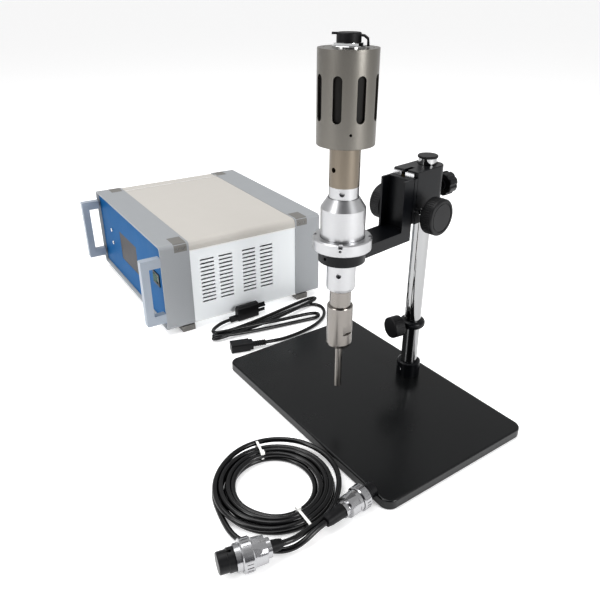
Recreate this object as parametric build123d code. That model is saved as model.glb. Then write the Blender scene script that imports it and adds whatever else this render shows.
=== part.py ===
from build123d import *
import math
import os

# Probe sonicator on a focusing stand, with its generator, high frequency cable and mains lead.
# Millimetres, Z up. The origin is the middle of the base plate on the surface it stands on.

# stand
PLATE = (390.0, 256.0)
PLATE_Z = (1.5, 15.5)
PLATE_CORNER = 14.0
COLUMN_AT = (0.0, 91.0)
COLUMN_R = 12.5
COLUMN_TOP = 363.0
CAP_H = 2.9
BOSS_R = 18.0
BOSS_TOP = 41.0
CAP_R = 13.8
RUN = 0.05
GAP = 0.35
COLLAR_Z = (101.5, 113.5)
COLLAR_R = 19.2
COLLAR_KNOB_TURN = -97.0

# head, in its own frame: the column is the origin and the arm points to minus Y
HEAD_TURN = 7.5
HEAD_HALF = 20.5
HEAD_FRONT = -45.0
HEAD_BACK = 19.0
HEAD_Z = (283.0, 354.0)
SLEEVE_R = 14.2
PINION_Y = -30.0
PINION_Z = 297.0
PINION_R = 7.6
TOOTH = 0.8
KNOB_R = 25.0
KNOB_X = (34.5, 53.5)
CLAMP_Z = 317.0
RAIL_Z = (286.0, 352.0)
RAIL_OUT = -51.0
PLATE_Y = (-71.0, -51.4)
ARM_Z = (261.0, 277.0)
BRACKET_TOP = 346.0
REACH = 163.5
RING_R = 30.0

# probe stack, on the vertical axis through the ring
STACK_R = 18.75
FLANGE_R = 37.2
HOUSING_R = 34.5
HOUSING_FOOT = 406.5
HOUSING_L = 104.0
HOUSING_Z = (HOUSING_FOOT, HOUSING_FOOT + HOUSING_L)
SLOT_FOOT = 28.1
SLOT_HEAD = 25.9
DRIVER_Z = HOUSING_Z[1] - 58.5
RING_PITCH = 6.0
TIP_Z = 68.0
HORN_R = 17.2
PROBE_R = 5.0

# generator, in its own frame: front to minus Y, origin in the middle of its footprint
GEN_AT = (-529.0, 4.2)
GEN_TURN = -3.0
GEN_W = 382.0
GEN_D = 325.4
GEN_Z = (11.3, 173.6)
SHEET = 1.5
FRAME_FRONT = 53.5
FRAME_REAR = 55.0
COVER_Z = 157.5

# cords
HF_D = 7.0
COIL_AT = (82.5, -217.0)
COIL_R = (53.5, 83.0)
COIL_H = 14.0
PLUG_A = ((165.0, -136.0, 16.0), -83.0)
PLUG_B = ((157.0, -327.0, 19.0), 76.5)
MAINS_D = 6.6
C13 = ((-239.0, -100.0, 8.2), 71.5)

os.makedirs("parts", exist_ok=True)


def save(shape, node):
    """Writes one named piece; a list of separate solids becomes one compound."""
    if isinstance(shape, (list, tuple, ShapeList)):
        shape = Compound(children=list(shape))
    export_step(shape, f"parts/{node}.step")


def rod(r, z0, z1, x=0.0, y=0.0):
    """Upright cylinder between two heights."""
    return Pos(x, y, (z0 + z1) / 2) * Cylinder(r, z1 - z0)


def tube(r_out, r_in, z0, z1, x=0.0, y=0.0):
    return rod(r_out, z0, z1, x, y) - rod(r_in, z0 - 1, z1 + 1, x, y)


def block(x0, x1, y0, y1, z0, z1):
    """Box between bounds."""
    return Pos((x0 + x1) / 2, (y0 + y1) / 2, (z0 + z1) / 2) * Box(x1 - x0, y1 - y0, z1 - z0)


def pad(x0, x1, y0, y1, z0, z1, corner):
    """Box whose four upright edges are rounded."""
    return fillet(block(x0, x1, y0, y1, z0, z1).edges().filter_by(Axis.Z), corner)


def rod_x(r, x0, x1, y, z):
    return Pos((x0 + x1) / 2, y, z) * Rot(0, 90, 0) * Cylinder(r, x1 - x0)


def rod_y(r, y0, y1, x, z):
    return Pos(x, (y0 + y1) / 2, z) * Rot(90, 0, 0) * Cylinder(r, y1 - y0)


def turned(profile):
    """Solid of revolution about Z from (radius, height) points."""
    face = make_face(Plane.XZ * Polyline(*[(r, z) for r, z in profile], close=True))
    return revolve(face, Axis.Z)


def to_head(shape):
    return Pos(COLUMN_AT[0], COLUMN_AT[1], 0) * Rot(0, 0, HEAD_TURN) * shape


def to_gen(shape):
    return Pos(GEN_AT[0], GEN_AT[1], 0) * Rot(0, 0, GEN_TURN) * shape


turn = math.radians(HEAD_TURN)
STACK_AT = (COLUMN_AT[0] + REACH * math.sin(turn), COLUMN_AT[1] - REACH * math.cos(turn))


def to_stack(shape, turned_by=0.0):
    return Pos(STACK_AT[0], STACK_AT[1], 0) * Rot(0, 0, turned_by) * shape


def fluted(r, z0, z1, flutes, depth):
    """Gripping knob: a cylinder with round flutes along its rim."""
    body = rod(r, z0, z1)
    body = chamfer(body.edges().filter_by(GeomType.CIRCLE), 1.2)
    cut = [
        Rot(0, 0, i * 360 / flutes) * Pos(r + depth * 0.9, 0, 0) * rod(depth * 1.9, z0 - 1, z1 + 1)
        for i in range(flutes)
    ]
    return body - cut


# Base plate, its feet, and the column with its boss

def base_plate():
    plate = pad(-PLATE[0] / 2, PLATE[0] / 2, -PLATE[1] / 2, PLATE[1] / 2, *PLATE_Z, PLATE_CORNER)
    plate = fillet(plate.edges().group_by(Axis.Z)[-1], 2.5)
    plate = fillet(plate.edges().group_by(Axis.Z)[0], 1.0)
    # countersunk hole for the bolt that holds the column
    plate -= rod(4.5, 0, 20, *COLUMN_AT)
    plate -= Pos(COLUMN_AT[0], COLUMN_AT[1], PLATE_Z[0] + 2.5) * Cone(9.0, 4.0, 5.0)
    return plate


def base_pad():
    """Thin non-slip sheet under the plate, open round the column's bolt."""
    sheet = pad(-PLATE[0] / 2 + 4, PLATE[0] / 2 - 4, -PLATE[1] / 2 + 4, PLATE[1] / 2 - 4, 0, PLATE_Z[0], 10)
    return sheet - rod(11.0, -1, 3, *COLUMN_AT)


def column_boss():
    z0 = PLATE_Z[1]
    body = turned([
        (COLUMN_R, z0), (BOSS_R, z0), (BOSS_R, BOSS_TOP - 2.5), (BOSS_R - 2.5, BOSS_TOP - 0.8),
        (COLUMN_R + 1.2, BOSS_TOP - 0.8), (COLUMN_R + 1.2, BOSS_TOP), (COLUMN_R, BOSS_TOP),
    ])
    body -= [Rot(0, 0, a) * rod_x(2.55, 10, 20, 0, z0 + 12) for a in (30, 150, 270)]
    return Pos(*COLUMN_AT, 0) * body


def boss_screws():
    """Three socket set screws that hold the column in its boss."""
    screws = []
    for a in (30, 150, 270):
        screw = rod_x(2.5, COLUMN_R, BOSS_R - 1.2, 0, PLATE_Z[1] + 12)
        screw -= Pos(BOSS_R - 2.4, 0, PLATE_Z[1] + 12) * Rot(0, 90, 0) * extrude(
            RegularPolygon(1.4, 6), 3)
        screws.append(Pos(*COLUMN_AT, 0) * Rot(0, 0, a) * screw)
    return screws


def column():
    post = rod(COLUMN_R, PLATE_Z[1], COLUMN_TOP)
    post = chamfer(post.edges().group_by(Axis.Z)[-1], 0.8)
    post -= rod(3.3, PLATE_Z[1] - 1, PLATE_Z[1] + 22)
    post -= rod(6.0, COLUMN_TOP - 12, COLUMN_TOP + 1)
    return Pos(*COLUMN_AT, 0) * post


def column_cap():
    top = rod(CAP_R, COLUMN_TOP, COLUMN_TOP + CAP_H)
    top = chamfer(top.edges().group_by(Axis.Z)[-1], 0.8)
    rim = [
        Rot(0, 0, i * 10) * Pos(CAP_R + 0.5, 0, 0) * rod(0.9, COLUMN_TOP - 1, COLUMN_TOP + 9)
        for i in range(36)
    ]
    top = top - rim + rod(5.95, COLUMN_TOP - 10, COLUMN_TOP + 1)
    return Pos(*COLUMN_AT, 0) * top


def stop_collar():
    """Rounded ring under the head, with a boss for its locking screw."""
    z0, z1 = COLLAR_Z
    ring = rod(COLLAR_R, z0, z1)
    ring = fillet(ring.edges().filter_by(GeomType.CIRCLE), 5.0)
    mid = (z0 + z1) / 2
    ring += rod_x(5.4, 14, 22.5, 0, mid)
    ring -= rod(COLUMN_R + RUN, z0 - 1, z1 + 1)
    ring -= rod_x(2.9, 0, 30, 0, mid)
    return Pos(*COLUMN_AT, 0) * Rot(0, 0, COLLAR_KNOB_TURN) * ring


def collar_knob():
    """Locking knob of the collar: fluted grip and screw."""
    mid = (COLLAR_Z[0] + COLLAR_Z[1]) / 2
    grip = rod(16.4, 0, 17.5)
    grip = fillet(grip.edges().filter_by(GeomType.CIRCLE), 1.6)
    grip -= [Rot(0, 0, i * 12) * Pos(16.9, 0, 0) * rod(0.8, 3.5, 14) for i in range(30)]
    grip += rod(6.2, -1.2, 1)
    grip += rod(2.5, -10.4, 1)
    shape = Pos(24.2, 0, mid) * Rot(0, 90, 0) * grip
    return Pos(*COLUMN_AT, 0) * Rot(0, 0, COLLAR_KNOB_TURN) * shape


# Head block with its sleeve, clamp knob, slide and focusing drive

def column_sleeve():
    sleeve = tube(SLEEVE_R - RUN, COLUMN_R + RUN, HEAD_Z[0] + 0.5, HEAD_Z[1] - 0.5)
    sleeve -= block(-0.8, 0.8, 0, 20, HEAD_Z[0], HEAD_Z[1])
    return to_head(sleeve)


def head_block():
    z0, z1 = HEAD_Z
    body = block(-HEAD_HALF, HEAD_HALF, HEAD_FRONT, HEAD_BACK, z0, z1)
    back = body.edges().filter_by(Axis.Z).group_by(Axis.Y)[-1]
    body = fillet(back, 15.0)
    body = chamfer(body.edges().group_by(Axis.Z)[-1], 0.8)
    body -= rod(SLEEVE_R, z0 - 1, z1 + 1)
    # slot for the rack and the pocket for the pinion
    body -= block(-3.0, 3.0, HEAD_FRONT - 1, PINION_Y, z0 - 1, z1 + 1)
    body -= rod_x(9.2, -5, 5, PINION_Y, PINION_Z)
    body -= rod_x(5.0 + RUN, -30, 30, PINION_Y, PINION_Z)
    body -= rod_y(4.1, 10, 30, 0, CLAMP_Z)
    body -= rod_x(2.4, 10, 30, -40.4, 301.0)
    return to_head(body)


def tension_screw():
    """Socket screw that sets how stiffly the slide runs."""
    screw = rod_x(2.4, 12, 21, 0, 0) + rod_x(4.2, HEAD_HALF, 26, 0, 0)
    screw = chamfer(screw.edges().group_by(Axis.X)[-1], 0.5)
    screw -= Pos(23.5, 0, 0) * Rot(0, 90, 0) * extrude(RegularPolygon(2.4, 6), 4)
    return to_head(Pos(0, -40.4, 301.0) * screw)


def clamp_knob():
    grip = fluted(16.6, 0, 17, 8, 1.9)
    shape = grip + rod(8.0, -4, 0.5) + rod(4.03, -22.5, 0.5)
    shape = Pos(0, 38.0, CLAMP_Z) * Rot(-90, 0, 0) * shape
    return to_head(shape)


def dovetail_rails():
    """Two bright slide ways that flare outwards, with the rack's slot between them."""
    rails = []
    for s in (-1, 1):
        section = make_face(Polyline(
            (s * 3.2, HEAD_FRONT), (s * 14.6, HEAD_FRONT), (s * 17.8, RAIL_OUT),
            (s * 3.2, RAIL_OUT), close=True))
        rail = extrude(section, RAIL_Z[1] - RAIL_Z[0])
        rails.append(to_head(Pos(0, 0, RAIL_Z[0]) * rail))
    return rails


def gear(radius, tooth, width, teeth):
    """Straight teeth around a disc that lies in XY."""
    disc = rod(radius - tooth * 1.1, 0, width)
    half = math.pi * radius / teeth / 2
    tooth_face = make_face(Polyline(
        (radius - tooth * 1.4, -half * 1.15), (radius + tooth * 0.5, -half * 0.45),
        (radius + tooth * 0.5, half * 0.45), (radius - tooth * 1.4, half * 1.15), close=True))
    single = extrude(tooth_face, width)
    return disc + [Rot(0, 0, i * 360 / teeth) * single for i in range(teeth)]


def pinion_shaft():
    wheel = Pos(-2.2, 0, 0) * Rot(0, 90, 0) * gear(PINION_R, TOOTH, 4.4, 19)
    shaft = rod_x(5.0, -KNOB_X[0], KNOB_X[0], 0, 0)
    shaft += rod_x(4.0, -KNOB_X[1] + 3, KNOB_X[1] - 3, 0, 0)
    return to_head(Pos(0, PINION_Y, PINION_Z) * (wheel + shaft))


def focus_knob(side):
    """Large focusing knob: fine ribbed rim, rounded edge, dished outer face."""
    wide = KNOB_X[1] - KNOB_X[0]
    knob = rod(KNOB_R, 0, wide)
    knob = fillet(knob.edges().filter_by(GeomType.CIRCLE), 3.0)
    knob -= rod(KNOB_R - 5.0, wide - 1.0, wide + 1)
    knob += rod(KNOB_R - 6.2, wide - 1.6, wide - 0.3)
    knob -= [Rot(0, 0, i * 7.5) * Pos(KNOB_R + 0.35, 0, 0) * rod(0.8, 3.5, wide - 4.5) for i in range(48)]
    knob += rod(11.0, -6.5, 0.5)
    knob -= rod(5.0, -8, 0)
    knob -= rod(4.0, -8, wide - 3)
    knob = Rot(0, 90 * side, 0) * knob
    return to_head(Pos(side * KNOB_X[0], PINION_Y, PINION_Z) * knob)


def rack():
    """Toothed bar on the back of the carriage, running in the head's slot."""
    pitch = math.pi * 2 * PINION_R / 19
    top = 346.0
    bottom = 263.0
    tips = PINION_Y - PINION_R - TOOTH * 0.5 - 0.4
    points = [(PLATE_Y[1], bottom), (tips - TOOTH, bottom)]
    count = int((top - bottom) / pitch) - 1
    for i in range(count):
        z = bottom + 1.0 + i * pitch
        points += [(tips - TOOTH, z), (tips, z + pitch * 0.3), (tips, z + pitch * 0.5),
                   (tips - TOOTH, z + pitch * 0.8)]
    points += [(tips - TOOTH, top), (PLATE_Y[1], top)]
    section = make_face(Plane.YZ * Polyline(*points, close=True))
    bar = extrude(section, 2.2, both=True)
    return to_head(bar)


def carriage_bracket():
    """L shaped carriage: slide plate with cheeks round the dovetail, arm and ring."""
    body = block(-20, 20, PLATE_Y[0], PLATE_Y[1], ARM_Z[0], BRACKET_TOP)
    body += block(-20, 20, -REACH + 20, PLATE_Y[0] + 1, *ARM_Z)
    body += Pos(0, -REACH, 0) * rod(RING_R, *ARM_Z)
    for s in (-1, 1):
        cheek = make_face(Polyline(
            (s * (14.6 + GAP + 0.45), HEAD_FRONT - 0.6), (s * 20.4, HEAD_FRONT - 0.6),
            (s * 20.4, PLATE_Y[1]), (s * (17.8 + GAP + 0.25), PLATE_Y[1]),
            (s * (17.8 + GAP + 0.25), RAIL_OUT + 0.1), close=True))
        body += Pos(0, 0, 285.0) * extrude(cheek, BRACKET_TOP - 285.0)
    body -= Pos(0, -REACH, 0) * rod(19.3, ARM_Z[0] - 1, ARM_Z[1] + 1)
    # the upright is a channel that is open towards the stack
    body -= block(-17.0, 17.0, PLATE_Y[0] - 1, PLATE_Y[1] - 6.0, ARM_Z[1], BRACKET_TOP + 5)
    # bevel along the arm's foot and the hole for the ring's clamping screw
    body = chamfer(body.edges().filter_by(Axis.X).group_by(Axis.Z)[-1], 0.6)
    body -= rod_y(2.1, -REACH - RING_R - 1, -REACH - 18, 0, sum(ARM_Z) / 2)
    return to_head(body)


# Probe stack: transducer in its housing, booster in the ring, horn and probe

def converter_housing():
    """Perforated sleeve: eight long slots, a lip at the foot and three screw holes."""
    z0, z1 = HOUSING_Z
    body = tube(HOUSING_R, HOUSING_R - 2.6, z0, z1)
    body = chamfer(body.edges().group_by(Axis.Z)[0], 0.4)
    body += tube(HOUSING_R - 1, 19.4, z0 + 0.5, z0 + 4.5)
    low, high = z0 + SLOT_FOOT, z1 - SLOT_HEAD
    slot_r = 5.2
    for i in range(8):
        cut = block(25, 40, -slot_r, slot_r, low + slot_r, high - slot_r)
        cut += rod_x(slot_r, 25, 40, 0, low + slot_r) + rod_x(slot_r, 25, 40, 0, high - slot_r)
        body -= Rot(0, 0, -57 + i * 45) * cut
    body -= [Rot(0, 0, a) * rod_x(1.6, 25, 40, 0, z0 + 16.4) for a in (-30, 90, 210)]
    return to_stack(body)


def housing_liner():
    """Dark inner sleeve seen through the slots, with a lighter band's step halfway."""
    z0, z1 = HOUSING_Z
    step = z1 - 48.5
    body = tube(31.2, 30.2, z0 + 21.5, step) + tube(31.5, 30.2, step, z1 - 18.5)
    return to_stack(body)


def housing_lid():
    z1 = HOUSING_Z[1]
    body = tube(HOUSING_R - 2.7, 12.6, z1 - 3.2, z1)
    body -= [Rot(0, 0, 45 + i * 90) * rod(1.3, z1 - 1.6, z1 + 1, 27.5, 0) for i in range(4)]
    return to_stack(body)


def socket_body():
    """Chrome panel socket: round flange, hexagon nut and threaded barrel."""
    z = HOUSING_Z[1]
    body = rod(18.4, z, z + 2.0)
    body = chamfer(body.edges().group_by(Axis.Z)[-1], 0.5)
    body += Pos(0, 0, z + 2.0) * extrude(RegularPolygon(16.6, 6), 2.6)
    body += rod(11.8, z - 10, z + 10.5)
    body -= rod(9.6, z - 11, z + 12)
    for i in range(4):
        body -= tube(13, 11.3, z + 5.6 + i * 1.3, z + 6.2 + i * 1.3)
    return to_stack(body)


def socket_insert():
    """Black insert with four contact pins."""
    z = HOUSING_Z[1]
    body = rod(9.5, z - 8, z + 4)
    pins = [Rot(0, 0, 45 + i * 90) * rod(1.1, z + 3, z + 9, 5.2, 0) for i in range(4)]
    return to_stack(body + pins)


CAP_HINGE = (20.9, HOUSING_Z[1] + 3.1)


def dust_cap():
    """Rubber cap over the socket with its pull tab and the strap down to its hinge."""
    z = HOUSING_Z[1]
    body = rod(13.6, z + 5.0, z + 15.2)
    body = fillet(body.edges().group_by(Axis.Z)[-1], 1.6)
    body -= rod(12.2, z + 4.0, z + 12.4)
    body += block(-18.5, -11, -4.5, 4.5, z + 13.0, z + 15.0)
    hx, hz = CAP_HINGE
    strap = make_face(Plane.XZ * Polyline(
        (10.5, z + 13.4), (17.0, z + 12.6), (21.6, z + 9.4), (hx + 1.6, hz - 1.6), (hx - 1.2, hz - 1.6),
        (hx - 1.2, z + 8.2), (16.0, z + 10.9), (11.0, z + 11.6), close=True))
    body += extrude(strap, 6.5, both=True)
    return to_stack(body, 48)


def back_mass():
    """Steel back mass with the head of the bolt that clamps the driver together."""
    z = DRIVER_Z + 4 * RING_PITCH
    body = rod(21.0, z, z + 17.5) + rod(9.0, z + 17.0, z + 22.5)
    body -= Pos(0, 0, z + 19.5) * extrude(RegularPolygon(4.6, 6), 5)
    return to_stack(body + rod(5.0, DRIVER_Z - 12.0, z + 1.0))


def piezo_rings():
    """Four ceramic rings of the driver."""
    return [to_stack(tube(20.0, 6.5, z, z + 5.4)) for z in [DRIVER_Z + i * RING_PITCH for i in range(4)]]


def front_mass():
    body = turned([
        (0, 357.0), (18.5, 357.0), (18.5, HOUSING_Z[0] + 5.5), (21.0, HOUSING_Z[0] + 7.5), (21.0, DRIVER_Z),
        (5.0, DRIVER_Z), (5.0, DRIVER_Z - 14.0), (0, DRIVER_Z - 14.0),
    ])
    body -= Rot(0, 0, -83) * rod_x(3.0, 12, 20, 0, 378.3)
    body -= Rot(0, 0, 97) * rod_x(3.0, 12, 20, 0, 378.3)
    return to_stack(body)


def booster():
    """Booster core: the bright cylinder above, the nodal flange, the cylinder below."""
    body = turned([
        (0, 219.5), (16.2, 219.5), (18.1, 221.0), (STACK_R, 224.0), (STACK_R, 279.5), (26.0, 279.5),
        (26.0, 287.0), (18.4, 287.0), (18.4, 357.0), (0, 357.0),
    ])
    body -= Rot(0, 0, -45.6) * rod_x(3.2, 13, 20, 0, 350.6)
    body -= Rot(0, 0, -48.8) * rod_x(3.2, 13, 20, 0, 244.2)
    body -= Rot(0, 0, 134.4) * rod_x(3.2, 13, 20, 0, 350.6)
    body -= Rot(0, 0, 131.2) * rod_x(3.2, 13, 20, 0, 244.2)
    return to_stack(body)


def booster_shell():
    """Outer sleeve with its cone, standing on the nodal flange."""
    body = turned([
        (18.9, 343.0), (19.6, 343.0), (28.0, 330.0), (27.7, 293.2), (27.7, 287.0), (19.2, 287.0),
        (19.2, 336.0),
    ])
    return to_stack(body)


def clamp_ring():
    """Wide ring nut that rests on the stand's ring."""
    z0 = ARM_Z[1] + 0.35
    body = turned([
        (STACK_R + 0.4, z0), (FLANGE_R - 0.8, z0), (FLANGE_R, z0 + 0.8), (FLANGE_R, 291.6),
        (FLANGE_R - 1.6, 293.2), (28.2, 293.2), (28.2, 286.8), (26.3, 286.8), (26.3, 279.3),
        (STACK_R + 0.4, 279.3),
    ])
    for i in range(4):
        body -= Rot(0, 0, -132 + 90 * i) * block(32.5, 40, -2.6, 2.6, 288.6, 295)
    body -= [Rot(0, 0, a) * rod_x(1.7, 31, 40, 0, 285.6) for a in (-42.5, 77.5, 197.5)]
    return to_stack(body)


def horn():
    """Titanium horn: slim neck, body with two wrench flats, stepped mouth."""
    body = turned([
        (0, 136.0), (14.8, 136.0), (16.6, 138.2), (HORN_R, 141.0), (HORN_R, 195.0), (16.6, 196.0),
        (14.2, 196.4), (14.2, 219.5), (0, 219.5),
    ])
    for s in (0, 180):
        body -= Rot(0, 0, 8 + s) * block(14.9, 20, -20, 20, 156.5, 169.5)
    body -= rod(6.8, 133, 138)
    return to_stack(body)


def probe():
    body = turned([
        (0, TIP_Z), (PROBE_R - 0.3, TIP_Z), (PROBE_R, TIP_Z + 0.4), (PROBE_R, 133.6), (6.6, 134.2),
        (6.6, 138.0), (0, 138.0),
    ])
    return to_stack(body)


# Generator: frames at both ends, a sheet case between them, panels, handles and feet

half_w = GEN_W / 2
half_d = GEN_D / 2
front_y = -half_d
side_y0 = -half_d + FRAME_FRONT
side_y1 = half_d - FRAME_REAR


def lower_case():
    """Bent sheet: floor and both side walls, with four columns of slots in each wall."""
    z0 = 14.8
    body = block(-half_w + 1, half_w - 1, side_y0, side_y1, z0, COVER_Z)
    body -= block(-half_w + 1 + SHEET, half_w - 1 - SHEET, side_y0 - 1, side_y1 + 1, z0 + SHEET, 200)
    cuts = []
    for s in (-1, 1):
        for start in (72.2, 108.6, 156.2, 193.0):
            y = -half_d + start
            for row in range(12):
                z = 51.6 + row * 7.5
                cuts.append(block(s * half_w - 4, s * half_w + 4, y, y + 26.8, z - 1.45, z + 1.45))
    body -= Compound(children=cuts)
    return to_gen(body)


def top_cover():
    """Cream cover with rounded long edges, open underneath."""
    z1 = GEN_Z[1] - 0.6
    body = block(-half_w + 0.6, half_w - 0.6, side_y0, side_y1, COVER_Z, z1)
    body = fillet(body.edges().filter_by(Axis.Y).group_by(Axis.Z)[-1], 9.0)
    inside = block(-half_w + 2.6, half_w - 2.6, side_y0 - 1, side_y1 + 1, COVER_Z - 1, z1 - 2)
    inside = fillet(inside.edges().filter_by(Axis.Y).group_by(Axis.Z)[-1], 7.0)
    # fall of the cover along its far edge
    fall = make_face(Plane.XZ * Polyline(
        (-half_w - 1, z1 + 2), (-half_w + 36, z1 + 2), (-half_w + 36, z1), (-half_w - 1, z1 - 1.3), close=True))
    body -= extrude(fall, 300, both=True)
    return to_gen(body - inside)


def end_frame(y0, y1, wall, corner):
    """Cast frame round one end of the case."""
    outer = block(-half_w, half_w, y0, y1, *GEN_Z)
    outer = fillet(outer.edges().filter_by(Axis.Y), corner)
    inner = block(-half_w + wall, half_w - wall, y0 - 1, y1 + 1, GEN_Z[0] + wall, GEN_Z[1] - wall)
    inner = fillet(inner.edges().filter_by(Axis.Y), 4.0)
    return outer - inner


def front_frame():
    body = end_frame(front_y, side_y0, 6.0, 7.0)
    # the mouth widens towards the front
    mouth_w, mouth_h = GEN_W - 6, GEN_Z[1] - GEN_Z[0] - 6
    body -= loft([
        Plane.XZ.offset(-front_y + 0.01) * Pos(0, sum(GEN_Z) / 2) * RectangleRounded(mouth_w, mouth_h, 6),
        Plane.XZ.offset(-front_y - 3.5) * Pos(0, sum(GEN_Z) / 2) * RectangleRounded(mouth_w - 6, mouth_h - 6, 4),
    ])
    # seats for the corner caps
    for s in (-1, 1):
        body -= corner_seat(s, front_y + 26.0, front_y + 49.5)
    return to_gen(body)


def rear_frame():
    body = end_frame(side_y1, half_d, 6.0, 7.0)
    for s in (-1, 1):
        body -= corner_seat(s, side_y1 + 3.0, side_y1 + 26.5)
    return to_gen(body)


def corner_seat(s, y0, y1):
    """Shallow pocket over a top corner."""
    x0, x1 = sorted((s * (half_w - 34), s * (half_w + 5)))
    lid = block(x0, x1, y0, y1, GEN_Z[1] - 1.6, GEN_Z[1] + 5)
    x0, x1 = sorted((s * (half_w - 1.6), s * (half_w + 5)))
    return lid + block(x0, x1, y0, y1, GEN_Z[1] - 15, GEN_Z[1] + 5)


def corner_caps():
    """Four caps over the top corners of the frames, each one piece round the edge."""
    frame = end_frame(front_y, side_y0, 6.0, 7.0) + end_frame(side_y1, half_d, 6.0, 7.0)
    seats = [corner_seat(s, y0, y0 + 23.5) for s in (-1, 1) for y0 in (front_y + 26.0, side_y1 + 3.0)]
    shell = []
    for seat in seats:
        piece = seat & frame
        for hole in (6.5, 17.0):
            yh = piece.bounding_box().min.Y + hole
            piece -= rod_x(1.5, -half_w - 5, half_w + 5, yh, GEN_Z[1] - 9.5)
        shell.append(to_gen(piece))
    return shell


PANEL_Y = front_y + 5.0
BUTTONS = ((-117.0, 107.0), (-117.0, 78.5))
SWITCH = (146.0, 98.5)


def front_panel():
    """Blue panel behind the frame's mouth with its window, buttons' holes and switch opening."""
    body = block(-half_w + 6, half_w - 6, PANEL_Y, PANEL_Y + 3.0, GEN_Z[0] + 6, GEN_Z[1] - 6)
    body = fillet(body.edges().filter_by(Axis.Y), 4.0)
    body -= block(-64.0, 38.0, PANEL_Y - 1, PANEL_Y + 1.2, 61.5, 120.5)
    for x, z in BUTTONS:
        body -= rod_y(4.35, PANEL_Y - 1, PANEL_Y + 5, x, z)
    x, z = SWITCH
    body -= block(x - 13.2, x + 13.2, PANEL_Y - 1, PANEL_Y + 5, z - 9.9, z + 9.9)
    return to_gen(body)


def display_window():
    body = block(-63.9, 37.9, PANEL_Y + 0.2, PANEL_Y + 1.2, 61.6, 120.4)
    return to_gen(fillet(body.edges().filter_by(Axis.Y), 2.0))


def button(index):
    """Bright push button with a domed front and a collar behind the panel."""
    x, z = BUTTONS[index]
    body = rod(4.0, -6.0, 2.6)
    body = fillet(body.edges().group_by(Axis.Z)[-1], 1.4)
    body += rod(5.2, -6.0, -4.9)
    body = Pos(x, PANEL_Y, z) * Rot(90, 0, 0) * body
    return to_gen(body)


def rocker_bezel():
    x, z = SWITCH
    body = block(x - 15.5, x + 15.5, PANEL_Y - 1.8, PANEL_Y, z - 12, z + 12)
    body += block(x - 13, x + 13, PANEL_Y - 0.5, PANEL_Y + 16, z - 9.7, z + 9.7)
    body -= block(x - 11.4, x + 11.4, PANEL_Y - 5, PANEL_Y + 14, z - 8.2, z + 8.2)
    return to_gen(body)


def rocker():
    """Rocker that tilts about an upright pin, wider end out."""
    x, z = SWITCH
    face = make_face(Polyline((-9.8, -3.4), (0, -0.2), (9.8, -1.2), (9.4, 3.0), (3, 7.5), (-3, 7.5),
                              (-9.4, 3.0), close=True))
    body = extrude(face, 7.8, both=True)
    return to_gen(Pos(x, PANEL_Y, z) * body)


def handles():
    """Two square-section handles bolted to the frame's uprights."""
    pair = []
    z0, z1 = 29.5, 154.5
    for s in (-1, 1):
        x0, x1 = sorted((s * (half_w - 0.2), s * (half_w - 13.5)))
        bow = block(x0, x1, front_y - 35.5, front_y, z0, z1)
        bow -= block(x0 - 1, x1 + 1, front_y - 21.5, front_y + 1, z0 + 17, z1 - 17)
        bow = chamfer(bow.edges().filter_by(Axis.X).group_by(Axis.Y)[0], 1.5)
        pair.append(to_gen(bow))
    return pair


def gen_feet():
    """Four ribbed feet under the frames."""
    feet = []
    for s in (-1, 1):
        for y0 in (front_y + 28.5, side_y1 + 3.6):
            x0, x1 = sorted((s * (half_w - 0.6), s * (half_w - 36)))
            foot = block(x0, x1, y0, y0 + 24.6, 0, GEN_Z[0])
            foot = chamfer(foot.edges().group_by(Axis.Z)[0], 0.8)
            for i in range(7):
                y = y0 + 2.6 + i * 3.3
                foot -= block(x0 - 2, x0 + 0.7, y - 0.7, y + 0.7, -1, 12)
                foot -= block(x1 - 0.7, x1 + 2, y - 0.7, y + 0.7, -1, 12)
            feet.append(to_gen(foot))
    return feet


FAN = (-110.0, 92.0)


def rear_panel():
    """Rear sheet with fan grille, inlet opening and the high frequency outlet's hole."""
    y0 = half_d - 8.0
    body = block(-half_w + 6, half_w - 6, y0, y0 + 2.0, GEN_Z[0] + 6, GEN_Z[1] - 6)
    body = fillet(body.edges().filter_by(Axis.Y), 4.0)
    x, z = FAN
    for r in (22.0, 29.0, 36.0):
        ring = rod_y(r + 2.6, y0 - 1, y0 + 3, x, z) - rod_y(r - 2.6, y0 - 2, y0 + 4, x, z)
        for a in (45, 135):
            ring -= Pos(x, 0, z) * Rot(0, a, 0) * block(-60, 60, y0 - 3, y0 + 5, -1.6, 1.6)
        body -= ring
    # motor of the fan and its spindle
    body += rod_y(14.0, y0 - 9, y0 + 0.5, x, z) + rod_y(2.5, y0 - 26, y0, x, z)
    body -= block(60, 87.2, y0 - 1, y0 + 3, 50, 70)
    body -= rod_y(12.05, y0 - 1, y0 + 3, 130, 95)
    return to_gen(body)


def fan_rotor():
    """Seven bladed rotor behind the grille."""
    x, z = FAN
    hub = fillet(rod(15, -12, 8).edges().group_by(Axis.Z)[-1], 2)
    blades = [Rot(0, 0, i * 360 / 7) * Pos(24.5, 0, -2) * Rot(32, 0, 0) * Box(23, 17, 1.6) for i in range(7)]
    wheel = hub + blades - rod(2.5 + RUN, -11, 9)
    body = Pos(x, half_d - 26, z) * Rot(-90, 0, 0) * wheel
    return to_gen(body)


def mains_inlet():
    """Three pin appliance inlet."""
    y0 = half_d - 6.0
    body = block(57, 90.2, y0, y0 + 2.5, 47, 73)
    body += block(60.1, 87.1, y0 - 22, y0 + 1, 50.1, 69.9)
    body -= block(62, 85.2, y0 - 16, y0 + 3, 52, 68)
    for dx in (-7, 0, 7):
        body += block(73.6 + dx - 1, 73.6 + dx + 1, y0 - 17, y0 - 2, 58, 62)
    return to_gen(body)


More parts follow.
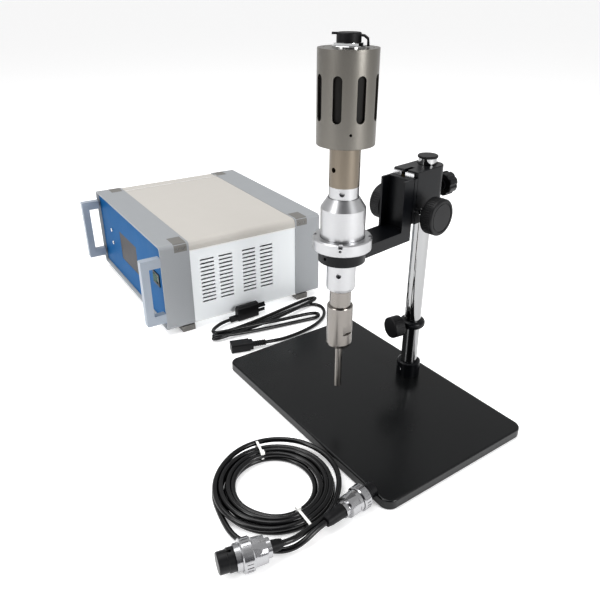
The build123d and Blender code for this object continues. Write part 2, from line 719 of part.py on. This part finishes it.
def hf_outlet():
    """Panel socket for the cable to the transducer."""
    y0 = half_d - 6.0
    body = rod_y(16.5, y0, y0 + 2.2, 130, 95) + rod_y(12.0, y0 - 14, y0 + 12, 130, 95)
    body -= rod_y(10.6, y0 - 9, y0 + 13, 130, 95)
    body += [rod_y(1.2, y0 - 10, y0 + 7, 130 + 6 * c, 95 + 6 * s) for c, s in ((1, 0), (-1, 0), (0, 1), (0, -1))]
    return to_gen(body)


# Cables: one closed solid for each wound bundle, tubes for the free stretches

def place(at, azimuth):
    """Frame whose X runs from a plug's mating face towards its cord."""
    return Pos(*at) * Rot(0, 0, azimuth)


def plug_profile(at, azimuth, profile):
    """Turned piece about a plug's axis from (distance, radius) points."""
    face = make_face(Polyline(*[(s, r) for s, r in profile], close=True))
    return place(at, azimuth) * revolve(face, Axis.X)


def plug_shells():
    a = plug_profile(*PLUG_A, [
        (6.0, 11.2), (6.0, 12.4), (19.0, 12.4), (19.0, 14.0), (37.0, 13.4), (38.0, 10.0), (44.0, 10.0),
        (44.0, 5.2), (12.0, 5.2), (12.0, 11.2),
    ])
    b = plug_profile(*PLUG_B, [
        (8.0, 13.7), (8.0, 15.4), (28.2, 15.4), (28.2, 16.4), (43.0, 15.2), (44.0, 11.0), (49.0, 11.0),
        (49.0, 5.2), (17.0, 5.2), (17.0, 13.7),
    ])
    shells = []
    for plug, spec, r in ((a, PLUG_A, 14.0), (b, PLUG_B, 16.4)):
        flats = []
        for i in range(8):
            flats.append(Rot(i * 45, 0, 0) * block(24, 42, -20, 20, r * 0.955, r + 6))
        plug = plug - place(*spec) * Compound(children=flats)
        shells.append(plug)
    return shells


def plug_inserts():
    """Black contact carriers with a keyway and four contact holes."""
    inserts = []
    for spec, r, depth in ((PLUG_A, 11.0, 12.0), (PLUG_B, 13.5, 17.0)):
        body = plug_profile(*spec, [(0, 0), (0, r - 0.8), (0.8, r), (depth, r), (depth, 0)])
        cuts = block(-1, 5, -1.5, 1.5, r - 2, r + 2)
        for i in range(4):
            cuts += Rot(45 + 90 * i, 0, 0) * rod_x(1.6, -1, 6, 0, r * 0.5)
        inserts.append(body - place(*spec) * cuts)
    return inserts


def plug_nut(spec, s0, s1, r, bore):
    """Knurled coupling nut that turns freely on the shell."""
    body = plug_profile(*spec, [(s0, bore), (s0, r - 1.2), (s0 + 1.2, r), (s1 - 1.2, r), (s1, r - 1.2),
                                (s1, bore)])
    cuts = [Rot(i * 15, 0, 0) * block(s0 + 3, s1 - 3, -0.7, 0.7, r - 0.6, r + 2) for i in range(24)]
    return body - place(*spec) * Compound(children=cuts)


def plug_boots():
    """Rubber bend reliefs behind the cable clamps."""
    a = plug_profile(*PLUG_A, [(44, 0), (44, 8.6), (64, 7.4), (70, 6.2), (70, 0)])
    b = plug_profile(*PLUG_B, [(49, 0), (49, 7.6), (58, 6.6), (63, 5.4), (63, 0)])
    return [a, b]


def along(spec, s, dz=0.0):
    """Point on a plug's axis at a distance from its face."""
    (x, y, z), azimuth = spec
    a = math.radians(azimuth)
    return (x + s * math.cos(a), y + s * math.sin(a), z + dz)


def cord(points, d):
    """Round cord: straight runs joined by the widest even bends that fit."""
    runs = [math.dist(a, b) for a, b in zip(points, points[1:])]
    radii = []
    for i in range(1, len(points) - 1):
        a = [points[i][k] - points[i - 1][k] for k in range(3)]
        b = [points[i + 1][k] - points[i][k] for k in range(3)]
        cosine = sum(p * q for p, q in zip(a, b)) / (math.hypot(*a) * math.hypot(*b))
        bend = math.acos(max(-1.0, min(1.0, cosine)))
        radii.append(0.45 * min(runs[i - 1], runs[i]) / math.tan(bend / 2))
    print("bend radii", [round(r, 1) for r in radii])
    path = FilletPolyline(*points, radius=radii)
    body = sweep(path.location_at(0) * Circle(d / 2), path)
    print("volume over section times length", round(body.volume / (math.pi * d * d / 4 * path.length), 4))
    return body


HF_TAIL_A = [along(PLUG_A, 70.0), along(PLUG_A, 84.0), (177.5, -236.0, 11.5), (176.0, -252.0, 6.5),
             (168.0, -267.0, 3.7), (156.0, -278.0, 3.6)]
HF_TAIL_B = [along(PLUG_B, 63.0), along(PLUG_B, 73.0), (172.5, -243.0, 16.5), (168.0, -229.0, 12.5)]
MAINS_TAIL = [
    along(C13, 62.0), along(C13, 76.0), (-215.2, -4.0, 4.6), (-217.0, 30.0, 3.5),
    (-222.0, 64.0, 3.5), (-233.0, 92.0, 3.5), (-245.0, 106.0, 3.5),
]
HANK = [(-299, -110), (-281, -110), (-268, -60), (-250, 40), (-247, 88), (-258, 112), (-284, 134),
        (-308, 140), (-318, 122), (-318, 60), (-312, 40), (-306, -30), (-302, -70)]


def hf_coil():
    """Outer shape of the wound cable, lying flat."""
    r0, r1 = COIL_R
    ring = tube(r1, r0, 0, COIL_H, *COIL_AT)
    return fillet(ring.edges().filter_by(GeomType.CIRCLE), 5.0)


def hf_tails():
    return [cord(HF_TAIL_A, HF_D), cord(HF_TAIL_B, HF_D)]


def cable_ties():
    """White ties round the coil, each with its head on the inner side."""
    ties = []
    wide = (COIL_R[1] - COIL_R[0]) / 2
    middle = (COIL_R[1] + COIL_R[0]) / 2
    for a in (165.0, -3.0):
        body = Box(2 * wide + 2.4, 3.4, COIL_H + 1.4)
        body = fillet(body.edges().filter_by(Axis.Y), 5.4)
        hole = fillet(Box(2 * wide + 0.3, 9, COIL_H + 0.2).edges().filter_by(Axis.Y), 4.9)
        head = Pos(-wide + 1, 0, COIL_H / 2 + 2.2) * Box(6.4, 5.4, 4.0)
        tie = (body + head) - hole
        ties.append(Pos(*COIL_AT, COIL_H / 2 + 0.01) * Rot(0, 0, a) * Pos(middle, 0, 0) * tie)
    return ties


def mains_hank():
    """Outer shape of the folded mains lead, narrow at its tied end."""
    body = extrude(make_face(Polyline(*HANK, close=True)), 12.5)
    body = fillet(body.edges().filter_by(Axis.Z), 6.0)
    return fillet(body.edges().group_by(Axis.Z)[-1], 3.0)


def mains_tail():
    return cord(MAINS_TAIL, MAINS_D)


def mains_socket():
    """Moulded appliance connector with collar, ribbed relief and three contact slots."""
    w, h = 21.0, 16.0
    body = block(0, 33, -w / 2, w / 2, -h / 2, h / 2)
    body = fillet(body.edges().filter_by(Axis.X), 2.6)
    body += block(32.5, 39, -7.5, 7.5, -6.5, 6.5)
    body = body - [block(-1, 14, dy - 1.1, dy + 1.1, -2.6, 2.6) for dy in (-6, 0, 6)]
    relief = rod_x(5.2, 38.5, 62, 0, 0)
    relief -= [rod_x(6, 41 + i * 4.2, 42.6 + i * 4.2, 0, 0) - rod_x(4.4, 40, 62, 0, 0) for i in range(5)]
    return place(*C13) * (body + relief)


def mains_plug():
    """Moulded plug with two blades and an earth pin, standing beside the case."""
    body = block(-333.5, -319.5, -38, 7, 0, 30)
    body = fillet(body.edges().filter_by(Axis.Y), 5.0)
    body = chamfer(body.edges().group_by(Axis.Y)[0], 2.5)
    body += block(-330.5, -322.5, -52, -36, 3, 12)
    for z in (9.0, 21.0):
        body += block(-327.4, -325.6, 6, 24, z - 3.1, z + 3.1)
    body += rod_y(2.4, 6, 27, -329.6, 15.0)
    return body


if __name__ == "__main__":
    save(base_plate(), "base_plate")
    save(base_pad(), "base_pad")
    save(column_boss(), "column_boss")
    save(boss_screws(), "boss_screws")
    save(column(), "column")
    save(column_cap(), "column_cap")
    save(stop_collar(), "stop_collar")
    save(collar_knob(), "collar_knob")
    save(column_sleeve(), "column_sleeve")
    save(head_block(), "head_block")
    save(tension_screw(), "tension_screw")
    save(clamp_knob(), "clamp_knob")
    save(dovetail_rails(), "dovetail_rails")
    save(pinion_shaft(), "pinion_shaft")
    save([focus_knob(1), focus_knob(-1)], "focus_knobs")
    save(rack(), "rack")
    save(carriage_bracket(), "carriage_bracket")
    save(converter_housing(), "converter_housing")
    save(housing_liner(), "housing_liner")
    save(housing_lid(), "housing_lid")
    save(socket_body(), "socket_body")
    save(socket_insert(), "socket_insert")
    save(dust_cap(), "dust_cap")
    save(back_mass(), "back_mass")
    save(piezo_rings(), "piezo_rings")
    save(front_mass(), "front_mass")
    save(booster(), "booster")
    save(booster_shell(), "booster_shell")
    save(clamp_ring(), "clamp_ring")
    save(horn(), "horn")
    save(probe(), "probe")
    save(lower_case(), "lower_case")
    save(top_cover(), "top_cover")
    save(front_frame(), "front_frame")
    save(rear_frame(), "rear_frame")
    save(corner_caps(), "corner_caps")
    save(front_panel(), "front_panel")
    save(display_window(), "display_window")
    save(button(0), "button_run")
    save(button(1), "button_set")
    save(rocker_bezel(), "rocker_bezel")
    save(rocker(), "rocker")
    save(handles(), "handles")
    save(gen_feet(), "gen_feet")
    save(rear_panel(), "rear_panel")
    save(fan_rotor(), "fan_rotor")
    save(mains_inlet(), "mains_inlet")
    save(hf_outlet(), "hf_outlet")
    save(hf_coil(), "hf_coil")
    save(hf_tails(), "hf_tails")
    save(cable_ties(), "cable_ties")
    save(plug_shells(), "plug_shells")
    save(plug_inserts(), "plug_inserts")
    save(plug_nut(PLUG_A, 6.5, 18.5, 16.0, 12.45), "plug_nut_a")
    save(plug_nut(PLUG_B, 14.5, 27.8, 19.0, 15.45), "plug_nut_b")
    save(plug_boots(), "plug_boots")
    save(mains_hank(), "mains_hank")
    save(mains_tail(), "mains_tail")
    save(mains_socket(), "mains_socket")
    save(mains_plug(), "mains_plug")
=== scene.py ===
import math

import bpy
from mathutils import Matrix, Vector


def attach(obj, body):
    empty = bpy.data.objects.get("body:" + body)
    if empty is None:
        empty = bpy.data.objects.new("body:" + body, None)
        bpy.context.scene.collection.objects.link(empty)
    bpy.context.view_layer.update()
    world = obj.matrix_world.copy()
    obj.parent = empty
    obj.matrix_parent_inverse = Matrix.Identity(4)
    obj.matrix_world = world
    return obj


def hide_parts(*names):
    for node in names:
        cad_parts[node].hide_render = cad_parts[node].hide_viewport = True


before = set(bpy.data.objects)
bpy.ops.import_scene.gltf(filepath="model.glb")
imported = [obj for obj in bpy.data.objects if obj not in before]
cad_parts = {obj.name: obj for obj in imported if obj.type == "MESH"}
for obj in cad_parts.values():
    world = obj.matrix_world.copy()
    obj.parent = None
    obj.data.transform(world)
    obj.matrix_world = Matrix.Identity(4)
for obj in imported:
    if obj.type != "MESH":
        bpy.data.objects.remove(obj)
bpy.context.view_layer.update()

# Materials: every finish is made of procedural nodes in object coordinates, in metres

SMUDGE = 30.0
TURNED = (0.15, 0.15, 6.0)


def finish_of(name, colour, metal=0.0, rough=0.4, spread=0.06, grain=900.0, bump=0.0, tint=0.05,
              stretch=(1.0, 1.0, 1.0), shine=0.5):
    """A finish with slight colour and gloss variation and, where bump is above 0, a fine relief."""
    m = bpy.data.materials.new(name)
    m.use_nodes = True
    tree = m.node_tree
    shader = tree.nodes["Principled BSDF"]
    shader.inputs["Metallic"].default_value = metal
    shader.inputs["Specular IOR Level"].default_value = shine
    where = tree.nodes.new("ShaderNodeTexCoord")
    scale = tree.nodes.new("ShaderNodeMapping")
    scale.inputs["Scale"].default_value = stretch
    tree.links.new(where.outputs["Object"], scale.inputs["Vector"])
    fine = tree.nodes.new("ShaderNodeTexNoise")
    fine.inputs["Scale"].default_value = grain
    fine.inputs["Detail"].default_value = 3.0
    tree.links.new(scale.outputs["Vector"], fine.inputs["Vector"])
    broad = tree.nodes.new("ShaderNodeTexNoise")
    broad.inputs["Scale"].default_value = SMUDGE
    broad.inputs["Detail"].default_value = 4.0
    tree.links.new(where.outputs["Object"], broad.inputs["Vector"])
    gloss = tree.nodes.new("ShaderNodeMapRange")
    gloss.inputs["To Min"].default_value = max(0.02, rough - spread)
    gloss.inputs["To Max"].default_value = rough + spread
    tree.links.new(broad.outputs["Fac"], gloss.inputs["Value"])
    tree.links.new(gloss.outputs["Result"], shader.inputs["Roughness"])
    mix = tree.nodes.new("ShaderNodeMix")
    mix.data_type = "RGBA"
    dark = [c * (1 - tint) for c in colour]
    light = [min(1.0, c * (1 + tint)) for c in colour]
    mix.inputs["A"].default_value = (*dark, 1)
    mix.inputs["B"].default_value = (*light, 1)
    tree.links.new(fine.outputs["Fac"], mix.inputs["Factor"])
    tree.links.new(mix.outputs["Result"], shader.inputs["Base Color"])
    if bump:
        relief = tree.nodes.new("ShaderNodeBump")
        relief.inputs["Strength"].default_value = 0.5
        relief.inputs["Distance"].default_value = bump
        tree.links.new(fine.outputs["Fac"], relief.inputs["Height"])
        tree.links.new(relief.outputs["Normal"], shader.inputs["Normal"])
    return m


black_coat = finish_of("black powder coat", (0.006, 0.0065, 0.007), rough=0.25, grain=1400,
                       bump=0.00002, shine=0.34)
black_metal = finish_of("black anodised", (0.004, 0.0045, 0.006), rough=0.34, grain=1600,
                        bump=0.00001, shine=0.26)
black_knurl = finish_of("black knurled", (0.006, 0.006, 0.007), rough=0.42, grain=1200, shine=0.3)
chrome = finish_of("polished chrome", (0.58, 0.585, 0.59), metal=1.0, rough=0.08, spread=0.02, tint=0.01)
ground_steel = finish_of("ground steel", (0.62, 0.62, 0.63), metal=1.0, rough=0.26, grain=700,
                         stretch=TURNED, tint=0.06)
turned_alloy = finish_of("turned alloy", (0.46, 0.462, 0.47), metal=1.0, rough=0.33, grain=800,
                         stretch=TURNED, tint=0.08)
warm_alloy = finish_of("satin warm alloy", (0.185, 0.176, 0.160), metal=1.0, rough=0.34, grain=1500,
                       tint=0.16, bump=0.00001)
titanium = finish_of("turned titanium", (0.25, 0.235, 0.22), metal=1.0, rough=0.26, grain=800,
                     stretch=TURNED, tint=0.08)
bronze = finish_of("bronze alloy", (0.19, 0.165, 0.135), metal=1.0, rough=0.24, grain=800,
                   stretch=TURNED, tint=0.08)
post_chrome = finish_of("post chrome", (0.36, 0.362, 0.365), metal=1.0, rough=0.06, spread=0.02, tint=0.01)
plug_metal = finish_of("satin plug metal", (0.40, 0.40, 0.41), metal=1.0, rough=0.20, spread=0.03, tint=0.02)
brass = finish_of("brass", (0.66, 0.50, 0.24), metal=1.0, rough=0.25)
ceramic = finish_of("ceramic", (0.62, 0.58, 0.50), rough=0.5)
# The liner's near-black colour is painted shade for the dark inside of the housing.
liner = finish_of("liner in painted shade", (0.010, 0.009, 0.008), rough=0.55, shine=0.2)
rubber = finish_of("black rubber", (0.004, 0.004, 0.005), rough=0.48, shine=0.25, grain=1500, bump=0.00002)
plastic = finish_of("black plastic", (0.004, 0.004, 0.005), rough=0.36, shine=0.30, grain=1800, bump=0.00001)
cream = finish_of("cream paint", (0.50, 0.478, 0.445), rough=0.38, grain=2200, bump=0.00001, tint=0.01)
white = finish_of("white paint", (0.80, 0.825, 0.84), rough=0.40, grain=2200, bump=0.00001, tint=0.01)
taupe = finish_of("grey taupe paint", (0.30, 0.312, 0.325), rough=0.45, grain=2600, bump=0.00003, tint=0.04)
taupe_dark = finish_of("dark taupe plastic", (0.17, 0.165, 0.155), rough=0.50, grain=2600, bump=0.00002)
blue = finish_of("blue foil", (0.010, 0.105, 0.27), rough=0.50, shine=0.08, grain=2600, tint=0.02)
handle_paint = finish_of("light grey blue paint", (0.32, 0.355, 0.405), rough=0.36, grain=2400, tint=0.02)
display = finish_of("grey display", (0.085, 0.082, 0.084), rough=0.45, tint=0.02, shine=0.08)
green = finish_of("dark green plastic", (0.02, 0.07, 0.04), rough=0.25, tint=0.02)
jacket = finish_of("cable jacket", (0.0045, 0.0045, 0.005), rough=0.22, grain=1500, shine=0.42)
# Light colour of the side ledges, and of the cover's fold line, where the white is a painted highlight.
ledge_and_fold_highlight = finish_of("light ledge and painted fold highlight", (0.80, 0.80, 0.79), rough=0.35, tint=0.01)
nylon = finish_of("white nylon", (0.80, 0.80, 0.78), rough=0.40, tint=0.01)

FINISHES = {
    black_coat: ["base_plate"],
    black_metal: ["column_boss", "stop_collar", "head_block", "carriage_bracket"],
    black_knurl: ["column_cap", "focus_knobs"],
    chrome: ["tension_screw", "socket_body", "hf_outlet"],
    post_chrome: ["column"],
    plug_metal: ["plug_shells", "plug_nut_a", "plug_nut_b"],
    ground_steel: ["boss_screws", "dovetail_rails", "pinion_shaft", "back_mass", "button_run", "button_set"],
    turned_alloy: ["booster", "booster_shell", "clamp_ring"],
    warm_alloy: ["converter_housing", "housing_lid"],
    titanium: ["horn", "probe"],
    bronze: ["front_mass"],
    brass: ["rack"],
    ceramic: ["piezo_rings"],
    liner: ["housing_liner"],
    rubber: ["base_pad", "dust_cap", "plug_boots"],
    plastic: ["collar_knob", "column_sleeve", "clamp_knob", "socket_insert", "rocker_bezel", "fan_rotor",
              "mains_inlet", "plug_inserts", "mains_socket", "mains_plug"],
    cream: ["top_cover"],
    white: ["lower_case", "rear_panel"],
    taupe: ["front_frame", "rear_frame"],
    taupe_dark: ["corner_caps", "gen_feet"],
    blue: ["front_panel"],
    handle_paint: ["handles"],
    display: ["display_window"],
    green: ["rocker"],
    nylon: ["cable_ties"],
    jacket: ["hf_coil", "hf_tails", "mains_hank", "mains_tail"],
}

for material, names in FINISHES.items():
    for name in names:
        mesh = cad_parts[name].data
        mesh.materials.clear()
        mesh.materials.append(material)

# Free cords, drawn along the same points as in the part's source, in metres

HF_D = 0.007
COIL_AT = (0.0825, -0.217)
PLUG_A = ((0.165, -0.136, 0.016), -83.0)
PLUG_B = ((0.157, -0.327, 0.019), 76.5)
MAINS_D = 0.0066
C13 = ((-0.239, -0.100, 0.0082), 71.5)


def along(spec, s):
    """Point on a plug's axis at a distance from its face; a plug is its face's middle and its azimuth."""
    (x, y, z), azimuth = spec
    a = math.radians(azimuth)
    return (x + s * math.cos(a), y + s * math.sin(a), z)


def cable(name, points, diameter, material):
    """Round cable along a smooth spline."""
    data = bpy.data.curves.new(name, "CURVE")
    data.dimensions = "3D"
    data.bevel_depth = diameter / 2
    data.bevel_resolution = 5
    data.resolution_u = 8
    data.use_fill_caps = True
    line = data.splines.new("NURBS")
    line.points.add(len(points) - 1)
    for point, at in zip(line.points, points):
        point.co = (*at, 1)
    line.order_u = 3
    line.use_endpoint_u = True
    data.materials.append(material)
    obj = bpy.data.objects.new(name, data)
    bpy.context.scene.collection.objects.link(obj)
    return obj


WAVE = (0.0011, 0.0006)
LOWER_TURNS = 4
LOOSE_FROM = 7.15
LANE_R = (0.0795, 0.0545, 0.0775)
PITCH = 0.0073
LOWER_Z, UPPER_Z = 0.0036, 0.0104


def wound(turns, start, r, z, step=30):
    """Clockwise turns about the coil's centre: r and z are functions of the turns made."""
    points = []
    for i in range(int(turns * 360 / step) + 1):
        t = i * step / 360
        a = math.radians(start - i * step)
        points.append((COIL_AT[0] + r(t) * math.cos(a), COIL_AT[1] + r(t) * math.sin(a), z(t)))
    return points


def lane(t):
    """Radius of the winding: inward in the lower layer, outward in the upper one."""
    wave = WAVE[0] * math.sin(2 * math.pi * t * 1.31 + 0.6) + WAVE[1] * math.sin(2 * math.pi * t * 2.17)
    if t < LOWER_TURNS:
        return LANE_R[0] - PITCH * t * 0.98 + wave * min(1.0, t)
    if t < LOOSE_FROM:
        return LANE_R[1] + PITCH * (t - LOWER_TURNS) + wave
    return LANE_R[2] + wave + 0.0120 * math.sin(math.pi * min(0.8, (t - LOOSE_FROM) / 0.5))


def level(t):
    """Height of the winding, with a slow rise from the lower to the upper layer."""
    if t < 3.6:
        return LOWER_Z
    if t < 4.2:
        return LOWER_Z + (UPPER_Z - LOWER_Z) * (t - 3.6) / 0.6
    return UPPER_Z + 0.0005 * math.sin(2 * math.pi * t * 1.7)


tail_a = [along(PLUG_A, 0.070), along(PLUG_A, 0.084), (0.1775, -0.236, 0.0115), (0.176, -0.252, 0.0065),
          (0.168, -0.267, 0.0037), (0.156, -0.278, 0.0036)]
tail_b = [along(PLUG_B, 0.063), along(PLUG_B, 0.073), (0.1725, -0.243, 0.0165), (0.168, -0.229, 0.0125)]
lead_in = [(0.139, -0.2915, 0.0036), (0.117, -0.2995, 0.0036)]
lead_out = [(0.1590, -0.182, 0.0108), (0.1655, -0.205, 0.0112)]
hf_points = tail_a + lead_in + wound(7.6, -88, lane, level) + lead_out + tail_b[::-1]
hf_cable = cable("hf_cable", hf_points, HF_D, jacket)

mains_points = [
    along(C13, 0.062), along(C13, 0.076), (-0.2152, -0.004, 0.0046), (-0.217, 0.030, 0.0035),
    (-0.222, 0.064, 0.0035), (-0.233, 0.092, 0.0035), (-0.245, 0.108, 0.0035), (-0.260, 0.120, 0.0035),
    (-0.277, 0.126, 0.0035), (-0.291, 0.121, 0.0035), (-0.299, 0.1095, 0.0035), (-0.300, 0.077, 0.0035),
    (-0.296, 0.0325, 0.0035), (-0.290, -0.012, 0.0035), (-0.288, -0.052, 0.0035), (-0.289, -0.088, 0.0035),
    (-0.290, -0.104, 0.0042), (-0.286, -0.1105, 0.0055), (-0.2805, -0.104, 0.0065), (-0.279, -0.085, 0.0072),
    (-0.277, -0.040, 0.0080), (-0.281, 0.020, 0.0085), (-0.291, 0.080, 0.0088), (-0.2975, 0.115, 0.0090),
    (-0.303, 0.131, 0.0085), (-0.311, 0.132, 0.0072), (-0.3148, 0.118, 0.0060), (-0.3125, 0.085, 0.0050),
    (-0.3065, 0.040, 0.0046), (-0.2995, -0.010, 0.0044), (-0.2955, -0.060, 0.0048), (-0.2955, -0.092, 0.0068),
    (-0.292, -0.106, 0.0085), (-0.285, -0.107, 0.0090), (-0.281, -0.095, 0.0090), (-0.2745, -0.060, 0.0060),
    (-0.266, -0.015, 0.0040), (-0.257, 0.035, 0.0036), (-0.250, 0.070, 0.0036), (-0.2455, 0.090, 0.0040),
    (-0.250, 0.1005, 0.0055), (-0.2575, 0.096, 0.0072), (-0.263, 0.075, 0.0078), (-0.269, 0.030, 0.0085),
    (-0.278, -0.025, 0.0110), (-0.286, -0.065, 0.0105), (-0.292, -0.092, 0.0098), (-0.300, -0.102, 0.0085),
    (-0.312, -0.096, 0.0075), (-0.3215, -0.080, 0.0075), (-0.3262, -0.064, 0.0075), (-0.3265, -0.052, 0.0075),
]
mains_cable = cable("mains_cable", mains_points, MAINS_D, jacket)


def on_base(name, mesh, material):
    """Object of a mesh that rides the base."""
    mesh.materials.append(material)
    obj = bpy.data.objects.new(name, mesh)
    bpy.context.scene.collection.objects.link(obj)
    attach(obj, "base")
    return obj


def turned_piece(name, spec, profile, material, sides=48):
    """Mesh turned about a plug's axis from (distance, radius) points."""
    (x, y, z), azimuth = spec
    a = math.radians(azimuth)
    ahead = Vector((math.cos(a), math.sin(a), 0))
    across = Vector((-math.sin(a), math.cos(a), 0))
    verts, faces = [], []
    for s, r in profile:
        for i in range(sides):
            t = 2 * math.pi * i / sides
            rim = across * (r * math.cos(t)) + Vector((0, 0, r * math.sin(t)))
            verts.append(Vector((x, y, z)) + ahead * s + rim)
    for k in range(len(profile) - 1):
        for i in range(sides):
            j = (i + 1) % sides
            faces.append((k * sides + i, k * sides + j, (k + 1) * sides + j, (k + 1) * sides + i))
    faces.append(tuple(range(sides)))
    faces.append(tuple(reversed(range((len(profile) - 1) * sides, len(profile) * sides))))
    mesh = bpy.data.meshes.new(name)
    mesh.from_pydata([tuple(v) for v in verts], [], faces)
    on_base(name, mesh, material)


GEN_AT = (-0.529, 0.0042)
GEN_TURN = math.radians(-3.0)
CASE_HALF = (0.191, 0.1627)
FRAMES = (0.0535, 0.055)


def strip(name, corners, edge_width):
    """Thin light bar between two corners in the generator's own axes, with soft edges."""
    (x0, y0, z0), (x1, y1, z1) = corners
    verts = [(x, y, z) for x in (x0, x1) for y in (y0, y1) for z in (z0, z1)]
    faces = [(0, 1, 3, 2), (4, 6, 7, 5), (0, 4, 5, 1), (2, 3, 7, 6), (0, 2, 6, 4), (1, 5, 7, 3)]
    mesh = bpy.data.meshes.new(name)
    mesh.from_pydata(verts, [], faces)
    mesh.transform(Matrix.Translation((*GEN_AT, 0)) @ Matrix.Rotation(GEN_TURN, 4, "Z"))
    edge = on_base(name, mesh, ledge_and_fold_highlight).modifiers.new("edge", "BEVEL")
    edge.width = edge_width
    edge.segments = 2


# The cover's fold, drawn as a white line that is a painted highlight, and the ledges along both sides between
# the frames
side_y = (-CASE_HALF[1] + FRAMES[0], CASE_HALF[1] - FRAMES[1])
# Painted highlight: a white line along the cream cover's fold.
strip("painted_fold_highlight", ((-0.1555, side_y[0] + 0.001, 0.1732), (-0.1540, side_y[1] - 0.001, 0.17375)), 0.0002)
for tag, sign in (("left", -1), ("right", 1)):
    out = sign * CASE_HALF[0]
    for level_name, z in (("upper", 0.1565), ("lower", 0.0150)):
        strip(f"case_ledge_{tag}_{level_name}",
              ((out - 0.001 * sign, side_y[0], z - 0.0008), (out + 0.0007 * sign, side_y[1], z + 0.0008)),
              0.0003)

# Noses of the two plug inserts, past the coupling nuts
turned_piece("plug_insert_a_nose", PLUG_A, [(0.002, 0.0098), (-0.0085, 0.0098), (-0.0095, 0.0088)],
             plastic)
turned_piece("plug_insert_b_nose", PLUG_B, [(0.002, 0.0124), (-0.0100, 0.0124), (-0.0110, 0.0114)],
             plastic)


def length_of(obj):
    """Length of a curve's centreline."""
    data = obj.data.copy()
    data.bevel_depth = 0
    data.use_fill_caps = False
    probe = bpy.data.objects.new("measure", data)
    bpy.context.scene.collection.objects.link(probe)
    shape = probe.evaluated_get(bpy.context.evaluated_depsgraph_get()).to_mesh()
    at = [v.co.copy() for v in shape.vertices]
    total = sum((at[e.vertices[0]] - at[e.vertices[1]]).length for e in shape.edges)
    bpy.data.objects.remove(probe)
    bpy.data.curves.remove(data)
    return total


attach(hf_cable, "base")
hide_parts("hf_coil", "hf_tails")
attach(mains_cable, "base")
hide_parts("mains_hank", "mains_tail")
print("cord lengths", length_of(hf_cable), length_of(mains_cable))

# Stage: pale floor, soft light, and the camera of the photo

floor_mesh = bpy.data.meshes.new("floor")
F = 60.0
floor_mesh.from_pydata([(-F, -F, 0), (F, -F, 0), (F, F, 0), (-F, F, 0)], [], [(0, 1, 2, 3)])
floor = bpy.data.objects.new("floor", floor_mesh)
floor.location = (0, 0, -0.0002)
bpy.context.scene.collection.objects.link(floor)
paper = bpy.data.materials.new("paper")
paper.use_nodes = True
sheen = paper.node_tree.nodes["Principled BSDF"]
sheen.inputs["Base Color"].default_value = (0.94, 0.94, 0.94, 1)
sheen.inputs["Roughness"].default_value = 0.85
sheen.inputs["Emission Color"].default_value = (1, 1, 1, 1)
sheen.inputs["Emission Strength"].default_value = 0.30
floor_mesh.materials.append(paper)

world = bpy.data.worlds.new("studio")
bpy.context.scene.world = world
world.use_nodes = True
sky = world.node_tree
toward = sky.nodes.new("ShaderNodeTexCoord")
facing = sky.nodes.new("ShaderNodeVectorMath")
facing.operation = "DOT_PRODUCT"
facing.inputs[1].default_value = (0.80, -0.60, 0.0)
ramp = sky.nodes.new("ShaderNodeValToRGB")
ramp.color_ramp.elements[0].position = 0.30
ramp.color_ramp.elements[0].color = (0.80, 0.80, 0.80, 1)
ramp.color_ramp.elements[1].position = 0.75
ramp.color_ramp.elements[1].color = (0.10, 0.10, 0.11, 1)
sky.links.new(toward.outputs["Generated"], facing.inputs[0])
sky.links.new(facing.outputs["Value"], ramp.inputs["Fac"])
sky.links.new(ramp.outputs["Color"], sky.nodes["Background"].inputs["Color"])
sky.nodes["Background"].inputs["Strength"].default_value = 0.75


def lamp(name, at, target, size, power):
    """Large soft area light pointed at a spot."""
    data = bpy.data.lights.new(name, "AREA")
    data.shape = "RECTANGLE"
    data.size, data.size_y = size
    data.energy = power
    obj = bpy.data.objects.new(name, data)
    obj.location = at
    obj.rotation_euler = (Vector(target) - Vector(at)).to_track_quat("-Z", "Y").to_euler()
    bpy.context.scene.collection.objects.link(obj)


lamp("key", (-0.6, -0.5, 2.2), (-0.2, 0.0, 0.1), (2.0, 1.6), 26)
lamp("front", (-0.1, -2.1, 1.3), (0.0, 0.0, 0.2), (0.7, 1.2), 16)
lamp("right", (1.9, 0.35, 0.9), (-0.2, 0.0, 0.15), (0.7, 1.0), 22)

camera = bpy.data.objects.new("camera", bpy.data.cameras.new("camera"))
camera.location = (0.57998, -0.52794, 0.57313)
camera.rotation_euler = (math.radians(62.72), 0.0, math.radians(54.92))
camera.data.lens = 36.99
camera.data.sensor_width = 36.0
bpy.context.scene.collection.objects.link(camera)
bpy.context.scene.camera = camera
bpy.context.scene.view_settings.view_transform = "Standard"
bpy.context.scene.view_settings.look = "Medium High Contrast"
